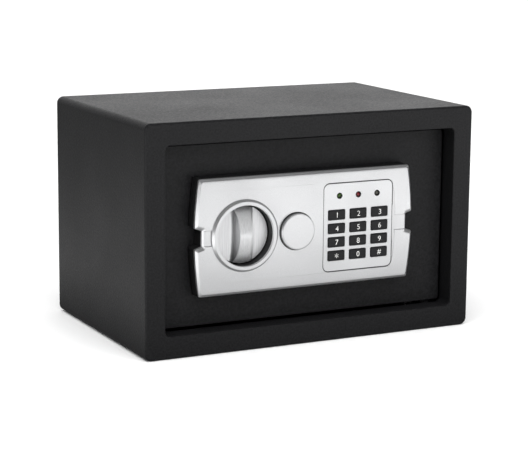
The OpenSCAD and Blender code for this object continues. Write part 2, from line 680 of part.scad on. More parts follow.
module reset_switch() color("#d9d4c3") difference() {
    block([reset_x - 6, cover_depth - 10, reset_z - 6],
        [reset_x + 6, cover_depth - cover_wall, reset_z + 6]);
    rod(reset_x, reset_z, 4.3, cover_depth - 6, cover_depth);
}

module reset_button() color("#b3262b") rod(reset_x, reset_z, 3.8, cover_depth - 4.6, cover_depth + 1.2);

// ---------- Assembly ----------

casing_wrap();
rear_panel();
hinge_brackets();
hinge_washers();
strike_plate();
floor_mat();
door_plate();
hinge_pins();
bolt_guide();
guide_bushes();
guide_studs();
cover_posts();
inner_cover();
cover_screws();
panel_base();
panel_cover();
panel_screws();
keypad_plate();
knob_bezel();
led_green();
led_red();
led_yellow();
control_board();
key_switches();
cable_grommet();
wiring_loom();
lock_barrel();
lock_nut();
solenoid_frame();
solenoid_coil();
battery_box();
batteries();
battery_contacts();
reset_switch();
knob();
knob_spindle();
crank();
bolt_carriage();
locking_bolts();
bolt_screws();
solenoid_plunger();
plunger_spring();
override_cap();
lock_plug();
lock_cam();
reset_button();
battery_lid();
for (i = [0 : 11])
    key(i);
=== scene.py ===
import json
import math

import bmesh
import bpy
from mathutils import Matrix, Vector


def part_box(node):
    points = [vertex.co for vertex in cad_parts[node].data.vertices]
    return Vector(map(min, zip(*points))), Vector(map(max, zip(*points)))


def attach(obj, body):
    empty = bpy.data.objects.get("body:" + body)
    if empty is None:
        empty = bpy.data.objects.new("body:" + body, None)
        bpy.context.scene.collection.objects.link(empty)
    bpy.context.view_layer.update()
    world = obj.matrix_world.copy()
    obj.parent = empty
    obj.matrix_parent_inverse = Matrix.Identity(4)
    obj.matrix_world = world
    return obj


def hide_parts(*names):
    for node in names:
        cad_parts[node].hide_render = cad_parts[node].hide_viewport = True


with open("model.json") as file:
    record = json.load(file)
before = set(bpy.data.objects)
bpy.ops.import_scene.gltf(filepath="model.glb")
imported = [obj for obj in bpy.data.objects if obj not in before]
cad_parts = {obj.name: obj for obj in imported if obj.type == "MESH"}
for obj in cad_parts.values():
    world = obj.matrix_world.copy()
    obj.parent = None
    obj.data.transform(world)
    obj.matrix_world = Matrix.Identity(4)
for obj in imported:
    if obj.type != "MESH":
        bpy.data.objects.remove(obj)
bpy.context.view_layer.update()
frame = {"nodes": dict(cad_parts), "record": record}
NODES = frame["nodes"]
RECORD = frame["record"]
MM = 0.001

# ---------- Driving places and sizes, all read from the frame ----------

CASE_LOW, CASE_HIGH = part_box("casing_wrap")
CASE_W = CASE_HIGH[0] - CASE_LOW[0]
CASE_H = CASE_HIGH[2] - CASE_LOW[2]
FRONT = CASE_LOW[1]
BACK = CASE_HIGH[1]
MID_Z = (CASE_LOW[2] + CASE_HIGH[2]) / 2
SHEET = CASE_HIGH[0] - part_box("rear_panel")[1][0]
COVER_LOW, COVER_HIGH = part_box("panel_cover")
BEZEL_LOW, BEZEL_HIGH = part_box("knob_bezel")
KNOB_LOW, KNOB_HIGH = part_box("knob")
CAP_LOW, CAP_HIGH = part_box("override_cap")
PAD_LOW, PAD_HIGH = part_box("keypad_plate")
MAT_LOW, MAT_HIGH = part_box("floor_mat")

PANEL_W = COVER_HIGH[0] - COVER_LOW[0]
PANEL_H = COVER_HIGH[2] - COVER_LOW[2]
PANEL_X = (COVER_HIGH[0] + COVER_LOW[0]) / 2
FACE = COVER_LOW[1]
SKIRT = COVER_HIGH[1]
BOW = 4 * MM
BOW_R = ((PANEL_H / 2) ** 2 + BOW ** 2) / (2 * BOW)

# Key frame: flange hidden under the cover, corner radius, and the gap round it, filled by a black ring of
# painted shade
PAD_FLANGE = 3 * MM
PAD_CORNER = 5 * MM
PAD_GAP = 0.6 * MM

ANCHOR_X = 90 * MM
ANCHOR_R = 5 * MM
KNOB_HOLE_R = 27.5 * MM
CAP_HOLE_R = 11.4 * MM

KEYS = {"key_1": "1", "key_2": "2", "key_3": "3", "key_4": "4", "key_5": "5", "key_6": "6",
        "key_7": "7", "key_8": "8", "key_9": "9", "key_star": "*", "key_0": "0", "key_hash": "#"}


def middle(low, high):
    return [(a + b) / 2 for a, b in zip(low, high)]


# ---------- Mesh helpers ----------

def rounded(corners, steps=6):
    """Closed outline through corners (a, b, radius), each corner turned into an arc."""
    points = []
    count = len(corners)
    for i, (a, b, radius) in enumerate(corners):
        here = Vector((a, b))
        before = (Vector(corners[i - 1][:2]) - here).normalized()
        after = (Vector(corners[(i + 1) % count][:2]) - here).normalized()
        half = before.angle(after) / 2
        reach = radius / math.tan(half)
        centre = here + (before + after).normalized() * (radius / math.sin(half))
        start = here + before * reach - centre
        end = here + after * reach - centre
        turn = start.angle_signed(end) if start.length > 0 else 0
        for k in range(steps + 1):
            points.append(centre + Matrix.Rotation(-turn * k / steps, 2) @ start)
    return points


def rect_ring(x, z, width, height, radius, y, steps=6):
    """Rounded rectangle facing the front, as points at one depth."""
    w, h = width / 2, height / 2
    corners = [(x - w, z - h, radius), (x + w, z - h, radius), (x + w, z + h, radius), (x - w, z + h, radius)]
    return [Vector((p.x, y, p.y)) for p in rounded(corners, steps)]


def finish_mesh(name, bm, sharp=38):
    """Turns a bmesh into a smooth-shaded object with sharp edges kept above an angle."""
    bmesh.ops.remove_doubles(bm, verts=bm.verts, dist=1e-6)
    bmesh.ops.recalc_face_normals(bm, faces=bm.faces)
    limit = math.radians(sharp)
    for face in bm.faces:
        face.smooth = True
    for edge in bm.edges:
        edge.smooth = len(edge.link_faces) == 2 and edge.calc_face_angle(0) < limit
    mesh = bpy.data.meshes.new(name)
    bm.to_mesh(mesh)
    bm.free()
    made = bpy.data.objects.new(name, mesh)
    bpy.context.scene.collection.objects.link(made)
    return made


def skin(name, rings, around=False, sharp=38):
    """Skins rings of equal length; around joins the last ring to the first, else both ends are capped."""
    bm = bmesh.new()
    made = [[bm.verts.new(p) for p in ring] for ring in rings]
    count = len(made[0])
    pairs = list(zip(made, made[1:]))
    if around:
        pairs.append((made[-1], made[0]))
    else:
        bm.faces.new(made[0])
        bm.faces.new(made[-1])
    for low, high in pairs:
        for k in range(count):
            n = (k + 1) % count
            bm.faces.new((low[k], low[n], high[n], high[k]))
    return finish_mesh(name, bm, sharp)


def lathe(name, x, z, section, steps=128, sharp=38):
    """Turns a closed section of (radius, y) points about an axis that runs front to rear."""
    rings = []
    for k in range(steps):
        turn = 2 * math.pi * k / steps
        rings.append([Vector((x + r * math.cos(turn), y, z + r * math.sin(turn))) for r, y in section])
    return skin(name, rings, around=True, sharp=sharp)


def rod_mesh(name, x, z, radius, y0, y1, steps=96):
    return lathe(name, x, z, [(0, y0), (radius, y0), (radius, y1), (0, y1)], steps)


def upright_rod(name, x, y, radius, z0, z1, steps=64):
    rings = []
    for height in (z0, z1):
        turns = [2 * math.pi * k / steps for k in range(steps)]
        rings.append([Vector((x + radius * math.cos(t), y + radius * math.sin(t), height)) for t in turns])
    return skin(name, rings)


def egg(name, centre, radii, steps=24):
    """Stretched ball, made in rings along the vertical."""
    rings = []
    for j in range(1, steps):
        rise = math.pi * j / steps
        turns = [2 * math.pi * k / (2 * steps) for k in range(2 * steps)]
        rings.append([Vector((centre[0] + radii[0] * math.sin(rise) * math.cos(t),
                              centre[1] + radii[1] * math.sin(rise) * math.sin(t),
                              centre[2] - radii[2] * math.cos(rise))) for t in turns])
    return skin(name, rings)


def cut(target, *tools):
    """Cuts tool meshes out of a target and removes them."""
    for tool in tools:
        step = target.modifiers.new("cut", "BOOLEAN")
        step.operation = "DIFFERENCE"
        step.solver = "EXACT"
        step.object = tool
    graph = bpy.context.evaluated_depsgraph_get()
    mesh = bpy.data.meshes.new_from_object(target.evaluated_get(graph))
    target.modifiers.clear()
    old = target.data
    target.data = mesh
    bpy.data.meshes.remove(old)
    for tool in tools:
        tool_mesh = tool.data
        bpy.data.objects.remove(tool)
        bpy.data.meshes.remove(tool_mesh)
    return target


def soften(piece, width, segments=3, angle=35):
    """Rounds the edges of a piece that are sharper than an angle."""
    bevel = piece.modifiers.new("rounded edges", "BEVEL")
    bevel.width = width
    bevel.segments = segments
    bevel.limit_method = "ANGLE"
    bevel.angle_limit = math.radians(angle)
    bevel.use_clamp_overlap = False
    bevel.harden_normals = True
    return piece


def even_normals(piece):
    step = piece.modifiers.new("even normals", "WEIGHTED_NORMAL")
    step.keep_sharp = True
    step.weight = 60
    return piece


def clean_cad(node, width, segments=2):
    """Joins the facets of a CAD node's flat faces, then rounds its edges."""
    piece = NODES[node]
    weld = piece.modifiers.new("weld", "WELD")
    weld.merge_threshold = 1e-6
    flat = piece.modifiers.new("flat faces", "DECIMATE")
    flat.decimate_type = "DISSOLVE"
    flat.angle_limit = math.radians(0.5)
    soften(piece, width, segments)
    return piece


# ---------- Materials ----------

def new_material(name):
    material = bpy.data.materials.new(name)
    material.use_nodes = True
    tree = material.node_tree
    shader = tree.nodes["Principled BSDF"]
    place = tree.nodes.new("ShaderNodeTexCoord")
    return material, tree, shader, place.outputs["Object"]


def noise(tree, place, scale, detail=3, stretch=None):
    node = tree.nodes.new("ShaderNodeTexNoise")
    node.inputs["Scale"].default_value = scale
    node.inputs["Detail"].default_value = detail
    if stretch:
        mapping = tree.nodes.new("ShaderNodeMapping")
        mapping.inputs["Scale"].default_value = stretch
        tree.links.new(place, mapping.inputs["Vector"])
        place = mapping.outputs["Vector"]
    tree.links.new(place, node.inputs["Vector"])
    return node.outputs["Fac"]


def ramp(tree, value, stops):
    node = tree.nodes.new("ShaderNodeValToRGB")
    items = node.color_ramp.elements
    while len(items) < len(stops):
        items.new(0.5)
    for item, (place, colour) in zip(items, stops):
        item.position = place
        item.color = (*colour, 1)
    tree.links.new(value, node.inputs["Fac"])
    return node.outputs["Color"]


def spread(tree, value, low, high):
    node = tree.nodes.new("ShaderNodeMapRange")
    node.inputs["From Min"].default_value = 0.3
    node.inputs["From Max"].default_value = 0.7
    node.inputs["To Min"].default_value = low
    node.inputs["To Max"].default_value = high
    tree.links.new(value, node.inputs["Value"])
    return node.outputs["Result"]


def bump(tree, shader, value, strength, distance, below=None):
    node = tree.nodes.new("ShaderNodeBump")
    node.inputs["Strength"].default_value = strength
    node.inputs["Distance"].default_value = distance
    tree.links.new(value, node.inputs["Height"])
    if below:
        tree.links.new(below, node.inputs["Normal"])
    tree.links.new(node.outputs["Normal"], shader.inputs["Normal"])
    return node.outputs["Normal"]


def shade(base, darker=0.82, lighter=1.12):
    """A darker and a lighter version of a colour, for a ramp."""
    return [tuple(c * darker for c in base), tuple(min(c * lighter, 1) for c in base)]


def plain_surface(name, base, rough, metallic=0.0, grain=700, depth=0.00005, gloss=0.5, edge_lighten=0.0):
    """A finish with fine grain, uneven gloss and sharp edges made lighter by a given amount."""
    material, tree, shader, place = new_material(name)
    fine = noise(tree, place, grain, 4)
    broad = noise(tree, place, 35, 3)
    dark, light = shade(base)
    colour = ramp(tree, broad, [(0.3, dark), (0.7, light)])
    # Lighter on sharp edges, found by pointiness
    if edge_lighten:
        edges = tree.nodes.new("ShaderNodeNewGeometry")
        lighter_edges = ramp(tree, edges.outputs["Pointiness"], [(0.52, (0, 0, 0)), (0.62, (edge_lighten, edge_lighten, edge_lighten))])
        mix = tree.nodes.new("ShaderNodeMixRGB")
        mix.blend_type = "ADD"
        mix.inputs["Fac"].default_value = 1
        tree.links.new(colour, mix.inputs["Color1"])
        tree.links.new(lighter_edges, mix.inputs["Color2"])
        colour = mix.outputs["Color"]
    tree.links.new(colour, shader.inputs["Base Color"])
    tree.links.new(spread(tree, broad, rough - 0.05, rough + 0.05), shader.inputs["Roughness"])
    shader.inputs["Metallic"].default_value = metallic
    shader.inputs["Specular IOR Level"].default_value = gloss
    bump(tree, shader, fine, 0.5, depth)
    return material


def powder_coat():
    """Black textured powder coat: orange peel, finer specks and an uneven gloss."""
    material, tree, shader, place = new_material("black_powder_coat")
    peel = noise(tree, place, 620, 3)
    speck = noise(tree, place, 2200, 1)
    broad = noise(tree, place, 14, 3)
    colour = ramp(tree, peel, [(0.35, (0.0055, 0.0055, 0.006)), (0.65, (0.0135, 0.0135, 0.0145))])
    tree.links.new(colour, shader.inputs["Base Color"])
    gloss = tree.nodes.new("ShaderNodeMath")
    gloss.operation = "ADD"
    tree.links.new(spread(tree, peel, 0.16, 0.32), gloss.inputs[0])
    tree.links.new(spread(tree, broad, 0.20, 0.26), gloss.inputs[1])
    tree.links.new(gloss.outputs["Value"], shader.inputs["Roughness"])
    shader.inputs["Specular IOR Level"].default_value = 0.25
    below = bump(tree, shader, peel, 0.8, 0.00028)
    bump(tree, shader, speck, 0.3, 0.00008, below)
    return material


def silver_paint():
    """Fine metallic silver paint on a smooth moulding."""
    material, tree, shader, place = new_material("silver_paint")
    flake = noise(tree, place, 3200, 2)
    broad = noise(tree, place, 22, 2)
    colour = ramp(tree, flake, [(0.3, (0.74, 0.745, 0.755)), (0.7, (0.86, 0.865, 0.875))])
    tree.links.new(colour, shader.inputs["Base Color"])
    tree.links.new(spread(tree, broad, 0.30, 0.36), shader.inputs["Roughness"])
    shader.inputs["Metallic"].default_value = 0.92
    bump(tree, shader, flake, 0.2, 0.00002)
    return material


def brushed(name, base, rough, stretch, metallic=1.0):
    """Metal with fine parallel brush marks along one axis."""
    material, tree, shader, place = new_material(name)
    marks = noise(tree, place, 1, 4, stretch)
    dark, light = shade(base, 0.86, 1.1)
    tree.links.new(ramp(tree, marks, [(0.3, dark), (0.7, light)]), shader.inputs["Base Color"])
    tree.links.new(spread(tree, marks, rough - 0.06, rough + 0.08), shader.inputs["Roughness"])
    shader.inputs["Metallic"].default_value = metallic
    bump(tree, shader, marks, 0.18, 0.00003)
    return material


def knob_metal():
    """Satin metal, more metallic where the surface faces sideways so that the flanks of the grip come out
    darker: painted shade.
    """
    material = brushed("satin_metal", (0.88, 0.885, 0.895), 0.4, (2600, 900, 60))
    tree = material.node_tree
    facing = tree.nodes.new("ShaderNodeTexCoord")
    split = tree.nodes.new("ShaderNodeSeparateXYZ")
    tree.links.new(facing.outputs["Normal"], split.inputs["Vector"])
    # Painted shade: metallic rises with how far the surface faces sideways, darkening the grip's flanks
    sideways = tree.nodes.new("ShaderNodeMath")
    sideways.operation = "ABSOLUTE"
    tree.links.new(split.outputs["X"], sideways.inputs[0])
    flank_shade = tree.nodes.new("ShaderNodeMapRange")
    flank_shade.inputs["From Min"].default_value = 0.35
    flank_shade.inputs["From Max"].default_value = 0.7
    flank_shade.inputs["To Min"].default_value = 0.72
    flank_shade.inputs["To Max"].default_value = 0.98
    tree.links.new(sideways.outputs["Value"], flank_shade.inputs["Value"])
    tree.links.new(flank_shade.outputs["Result"], tree.nodes["Principled BSDF"].inputs["Metallic"])
    return material


def felt():
    material, tree, shader, place = new_material("felt")
    fibres = noise(tree, place, 900, 6)
    tufts = noise(tree, place, 120, 3)
    tree.links.new(ramp(tree, fibres, [(0.3, (0.03, 0.031, 0.034)), (0.75, (0.085, 0.087, 0.092))]),
                   shader.inputs["Base Color"])
    tree.links.new(spread(tree, tufts, 0.88, 0.98), shader.inputs["Roughness"])
    shader.inputs["Sheen Weight"].default_value = 0.4
    below = bump(tree, shader, tufts, 0.5, 0.0006)
    bump(tree, shader, fibres, 0.8, 0.0003, below)
    return material


def lens(name, base):
    material, tree, shader, place = new_material(name)
    cloud = noise(tree, place, 260, 2)
    dark, light = shade(base, 0.7, 1.25)
    tree.links.new(ramp(tree, cloud, [(0.3, dark), (0.7, light)]), shader.inputs["Base Color"])
    tree.links.new(spread(tree, cloud, 0.12, 0.2), shader.inputs["Roughness"])
    shader.inputs["Coat Weight"].default_value = 0.6
    bump(tree, shader, cloud, 0.1, 0.00003)
    return material


def cell_sleeve():
    """Printed sleeve with bare steel at both ends of the cell."""
    material, tree, shader, place = new_material("cell_blue")
    low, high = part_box("batteries")
    split = tree.nodes.new("ShaderNodeSeparateXYZ")
    tree.links.new(place, split.inputs["Vector"])
    along = tree.nodes.new("ShaderNodeMapRange")
    along.inputs["From Min"].default_value = low[0]
    along.inputs["From Max"].default_value = high[0]
    tree.links.new(split.outputs["X"], along.inputs["Value"])
    steel = (0.55, 0.55, 0.56)
    bands = [(0.0, steel), (0.055, (0.02, 0.07, 0.2)), (0.62, (0.6, 0.6, 0.58)), (0.72, (0.02, 0.07, 0.2)),
             (0.945, steel)]
    tint = ramp(tree, along.outputs["Result"], bands)
    tree.nodes[-1].color_ramp.interpolation = "CONSTANT"
    tree.links.new(tint, shader.inputs["Base Color"])
    cloud = noise(tree, place, 300, 2)
    tree.links.new(spread(tree, cloud, 0.26, 0.36), shader.inputs["Roughness"])
    shader.inputs["Metallic"].default_value = 0.4
    bump(tree, shader, cloud, 0.1, 0.00002)
    return material


LOOKS = {
    "black_powder_coat": powder_coat(),
    "black_plastic": plain_surface("black_plastic", (0.012, 0.012, 0.0125), 0.38, gloss=0.4),
    "silver_paint": silver_paint(),
    "satin_metal": knob_metal(),
    "black_rubber": plain_surface("black_rubber", (0.012, 0.012, 0.013), 0.55, grain=1500, gloss=0.35),
    "zinc_steel": plain_surface("zinc_steel", (0.5, 0.51, 0.53), 0.34, 1.0, 420, 0.00004, edge_lighten=0.08),
    "bolt_steel": brushed("bolt_steel", (0.62, 0.625, 0.64), 0.2, (60, 1600, 1600)),
    "nylon": plain_surface("nylon", (0.7, 0.68, 0.61), 0.5),
    "brass_plug": brushed("brass_plug", (0.62, 0.45, 0.18), 0.3, (900, 80, 900)),
    "copper_coil": brushed("copper_coil", (0.5, 0.19, 0.07), 0.3, (60, 60, 3200)),
    "felt": felt(),
    "board_green": plain_surface("board_green", (0.02, 0.11, 0.04), 0.3, grain=300),
    "lens_green": lens("lens_green", (0.035, 0.075, 0.012)),
    "lens_red": lens("lens_red", (0.12, 0.006, 0.01)),
    "lens_grey": lens("lens_grey", (0.06, 0.06, 0.05)),
    "wire_red": plain_surface("wire_red", (0.3, 0.02, 0.018), 0.35),
    "cell_blue": cell_sleeve(),
    "reset_red": plain_surface("reset_red", (0.45, 0.02, 0.025), 0.25),
    "legend_paint": plain_surface("legend_paint", (0.8, 0.8, 0.78), 0.6),
}


def dress(piece, slot):
    piece.data.materials.clear()
    piece.data.materials.append(LOOKS[slot])


def add_piece(piece, slot, body, *nodes):
    """Gives a visual piece its finish, the body that it rides on and the CAD nodes it stands for."""
    dress(piece, slot)
    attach(piece, body)
    if nodes:
        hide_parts(*nodes)
    return piece


# ---------- Casing ----------

def anchor_holes(radius, low, high):
    """Two upright tools over the places of the floor bolts."""
    return [upright_rod("hole", s * ANCHOR_X, 0, radius, low, high) for s in (-1, 1)]


def casing():
    """Folded casing as one sheet: side walls, front frame and the return lip round the opening."""
    side = 18 * MM
    top = 19 * MM
    fold = 1.9 * MM
    lip = 18 * MM
    rim = 1.0 * MM
    burr = 0.3 * MM
    edge = 6 * MM
    # Each entry of the section is (inset at the sides, inset at top and bottom, depth from the front)
    section = [(0, 0, BACK - FRONT), (0, 0, fold)]
    for k in range(1, 7):
        turn = math.radians(15 * k)
        inset = fold * (1 - math.cos(turn))
        section.append((inset, inset, fold * (1 - math.sin(turn))))
    for k in range(7):
        turn = math.radians(15 * k)
        back = rim * (1 - math.cos(turn))
        inset = rim * (1 - math.sin(turn))
        section.append((side - inset, top - inset, back))
    section += [(side, top, lip - burr), (side - burr, top - burr, lip)]
    section += [(side - SHEET, top - SHEET, lip), (side - SHEET, top - SHEET, SHEET), (SHEET, SHEET, SHEET)]
    section += [(SHEET, SHEET, BACK - FRONT)]
    rings = []
    for across, up, depth in section:
        share = min(across / side, 1)
        radius = edge - share * 1.5 * MM if across != SHEET else edge - SHEET
        width = CASE_W - 2 * across
        height = CASE_H - 2 * up
        rings.append(rect_ring(0, MID_Z, width, height, radius, FRONT + depth, 8))
    made = skin("casing_folded_sheet", rings, around=True)
    cut(made, *anchor_holes(ANCHOR_R, -MM, 3 * MM))
    even_normals(made)
    return add_piece(made, "black_powder_coat", "casing", "casing_wrap")


def felt_mat():
    """Needle-felt mat on the floor with round corners and soft edges."""
    width = MAT_HIGH[0] - MAT_LOW[0]
    length = MAT_HIGH[1] - MAT_LOW[1]
    centre = middle(MAT_LOW, MAT_HIGH)
    thick = MAT_HIGH[2] - MAT_LOW[2]
    rings = []
    # Inset in mm and share of the thickness
    for inset, height in ((1.0, 0), (0.0, 0.35), (0.0, 0.7), (0.9, 1.0)):
        less = 2 * inset * MM
        flat = rect_ring(centre[0], centre[1], width - less, length - less, 6 * MM, 0, 6)
        rings.append([Vector((p.x, p.z, MAT_LOW[2] + thick * height)) for p in flat])
    made = skin("felt_mat", rings)
    cut(made, *anchor_holes(ANCHOR_R + 3 * MM, 0, 10 * MM))
    add_piece(made, "felt", "casing", "floor_mat")
    return made


# ---------- Control panel ----------

def panel_ring(inset, y):
    """Outline of the panel with bowed ends and a flared notch in each, shrunk by an inset."""
    half_h = PANEL_H / 2 - inset
    full = PANEL_W / 2 + 0.15 * MM
    radius = BOW_R - inset
    tip = 1.6 * MM

    def end_x(z):
        return full - BOW_R + math.sqrt(radius ** 2 - z ** 2)

    # The notch: its floor, and half its height at the floor and at the mouth
    floor_x = full - 6.2 * MM - inset
    inner = 6.6 * MM + inset
    outer = 8.4 * MM + inset
    corners = []
    for s in (1, -1):
        low_arc = [-half_h + (half_h - outer) * k / 6 for k in range(1, 6)]
        corners.append((s * end_x(-half_h), -s * half_h, tip))
        corners += [(s * end_x(z), s * z, 0.3 * MM) for z in low_arc]
        corners.append((s * end_x(outer), -s * outer, 1.2 * MM))
        corners.append((s * floor_x, -s * inner, 1.4 * MM))
        corners.append((s * floor_x, s * inner, 1.4 * MM))
        corners.append((s * end_x(outer), s * outer, 1.2 * MM))
        corners += [(s * end_x(z), -s * z, 0.3 * MM) for z in reversed(low_arc)]
        corners.append((s * end_x(-half_h), s * half_h, tip))
    return [Vector((PANEL_X + p.x, y, MID_Z + p.y)) for p in rounded(corners, 4)]


def panel_cover():
    """Silver cover: bevelled all round, lightly crowned, with the openings for knob, cap and keys."""
    depth = SKIRT - FACE
    # Inset in mm and share of the depth: upright skirt, broad bevel, flat face
    steps = [(0.2, 1.0), (0.0, 0.94), (0.25, 0.5), (2.3, 0.02), (2.9, 0.0)]
    rings = [panel_ring(inset * MM, FACE + depth * share) for inset, share in steps]
    made = skin("panel_cover_face", rings, sharp=50)
    knob = middle(KNOB_LOW, KNOB_HIGH)
    cap = middle(CAP_LOW, CAP_HIGH)
    pad = middle(PAD_LOW, PAD_HIGH)
    reach = (FACE - MM, SKIRT + MM)
    pocket_w = PAD_HIGH[0] - PAD_LOW[0] - PAD_FLANGE + 2 * PAD_GAP
    pocket_h = PAD_HIGH[2] - PAD_LOW[2] - PAD_FLANGE + 2 * PAD_GAP
    pocket = [rect_ring(pad[0], pad[2], pocket_w, pocket_h, PAD_CORNER + PAD_GAP, y, 8) for y in reach]
    tools = [
        rod_mesh("knob_hole", knob[0], knob[2], KNOB_HOLE_R, *reach, steps=160),
        rod_mesh("cap_hole", cap[0], cap[2], CAP_HOLE_R, *reach),
        skin("pocket", pocket),
    ]
    channel_h = 13 * MM
    channel_y = (FACE - MM, FACE + 0.8 * MM)
    for low, high in ((-PANEL_W, -PANEL_W / 2 + 20 * MM), (PANEL_W / 2 - 24 * MM, PANEL_W)):
        x = PANEL_X + (low + high) / 2
        ends = [rect_ring(x, MID_Z, high - low, channel_h, 0.5 * MM, y) for y in channel_y]
        tools.append(skin("channel", ends))
    # Shallow dish along the right side of the pocket
    dish_at = (pad[0] + pocket_w / 2, FACE + 0.1 * MM, pad[2])
    tools.append(egg("dish", dish_at, (2.6 * MM, 1.1 * MM, 31 * MM)))
    cut(made, *tools)
    crown(made, 0.9 * MM)
    soften(made, 0.3 * MM, 2, 40)
    return add_piece(made, "silver_paint", "door", "panel_cover")


def keypad_gap_shade():
    """Black ring in the gap between the cover and the key frame: painted shade standing in for the shadow in
    that gap.
    """
    x, _, z = middle(PAD_LOW, PAD_HIGH)
    width = PAD_HIGH[0] - PAD_LOW[0] - PAD_FLANGE
    height = PAD_HIGH[2] - PAD_LOW[2] - PAD_FLANGE
    front = PAD_LOW[1] + 0.25 * MM
    back = front + 0.9 * MM
    inner = 0.05 * MM
    outer = PAD_GAP - 0.05 * MM
    rings = []
    for grow, y in ((inner, front), (outer, front), (outer, back), (inner, back)):
        rings.append(rect_ring(x, z, width + 2 * grow, height + 2 * grow, PAD_CORNER + grow, y, 8))
    # Painted shade: a black ring where the gap round the key frame lies in shadow
    return add_piece(skin("keypad_gap_shade", rings, around=True), "black_plastic", "door")


def led_rims():
    """Thin black rim round each indicator lens."""
    for node in ("led_green", "led_red", "led_yellow"):
        low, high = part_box(node)
        x, _, z = middle(low, high)
        inner = (high[0] - low[0]) / 2 + 0.02 * MM
        outer = inner + 0.45 * MM
        front = PAD_LOW[1] - 0.12 * MM
        back = PAD_LOW[1] + 0.4 * MM
        section = [(inner, front), (outer, front), (outer, back), (inner, back)]
        rim = lathe(node + "_rim", x, z, section, 48)
        add_piece(rim, "black_plastic", "door")


def crown(piece, drop):
    """Curves the front of the panel so that its middle stands forward of its top and bottom."""
    bm = bmesh.new()
    bm.from_mesh(piece.data)
    levels = 18
    for k in range(1, levels):
        height = MID_Z - PANEL_H / 2 + PANEL_H * k / levels
        everything = bm.verts[:] + bm.edges[:] + bm.faces[:]
        bmesh.ops.bisect_plane(bm, geom=everything, plane_co=(0, 0, height), plane_no=(0, 0, 1), dist=1e-6)
    for vert in bm.verts:
        weight = min(max((SKIRT - vert.co.y) / (SKIRT - FACE), 0), 1)
        share = (vert.co.z - MID_Z) / (PANEL_H / 2)
        vert.co.y += drop * weight * share ** 2
    for face in bm.faces:
        face.smooth = True
    limit = math.radians(30)
    for edge in bm.edges:
        edge.smooth = len(edge.link_faces) == 2 and edge.calc_face_angle(0) < limit
    bm.to_mesh(piece.data)
    bm.free()


def knob_bezel():
    """Raised ring with a sloped outside and a narrow flat front."""
    centre = middle(BEZEL_LOW, BEZEL_HIGH)
    outer = (BEZEL_HIGH[0] - BEZEL_LOW[0]) / 2
    front = BEZEL_LOW[1]
    seat = BEZEL_HIGH[1]
    mouth = outer - 4.8 * MM
    flat = 3.1 * MM
    corners = [(mouth, front, 0.35 * MM), (mouth + flat, front, 0.35 * MM),
               (outer, seat - 0.9 * MM, 0.3 * MM), (outer, seat, 0.05 * MM), (mouth, seat, 0.1 * MM)]
    section = [tuple(p) for p in rounded(corners, 5)]
    made = lathe("knob_ring", centre[0], centre[2], section, 160)
    return add_piece(made, "silver_paint", "door", "knob_bezel")


def override_cap():
    """Snap cap over the key lock: flat face, upright side, and a black ring round it that is painted shade
    for the shadow in the gap.
    """
    x, _, z = middle(CAP_LOW, CAP_HIGH)
    radius = (CAP_HIGH[0] - CAP_LOW[0]) / 2 - 0.9 * MM
    front = CAP_LOW[1]
    back = CAP_HIGH[1]
    seat = FACE - 0.05 * MM
    hollow = front + 2.7 * MM
    dish = 0.12 * MM
    rim = radius - 0.9 * MM
    stem = 11 * MM
    bore = 9.4 * MM
    face = [(rim * k / 8, front + dish * (1 - (k / 8) ** 2)) for k in range(8)]
    groove = front + 0.5 * MM
    corners = [(rim, front, 0.1 * MM), (rim, groove, 0.05 * MM), (rim + 0.35 * MM, groove, 0.05 * MM),
               (rim + 0.4 * MM, front + 0.2 * MM, 0.08 * MM), (radius, front + 0.5 * MM, 0.2 * MM),
               (radius, seat, 0.05 * MM),
               (stem, seat, 0.1 * MM), (stem, back, 0.4 * MM), (bore, back, 0.3 * MM),
               (bore, hollow, 0.3 * MM)]
    # The two corners on the axis only guide the arcs beside them
    steps = 6
    arcs = [tuple(p) for p in rounded(corners + [(0, hollow, 0), (0, front, 0)], steps)]
    section = face + arcs[:(steps + 1) * len(corners)] + [(0, hollow)]
    made = lathe("key_cap", x, z, section, 128)
    # Painted shade: a black ring in the gap round the cap, where it lies in shadow
    inner = radius + 0.1 * MM
    outer = radius + 0.85 * MM
    lip = seat - 0.35 * MM
    floor = seat + 0.8 * MM
    section = [(inner, lip), (outer, lip), (outer, floor), (inner, floor)]
    cap_gap_shade = lathe("key_cap_gap_shade", x, z, section, 96)
    add_piece(cap_gap_shade, "black_plastic", "door")
    return add_piece(made, "silver_paint", "key_cap", "override_cap")


# ---------- Knob ----------

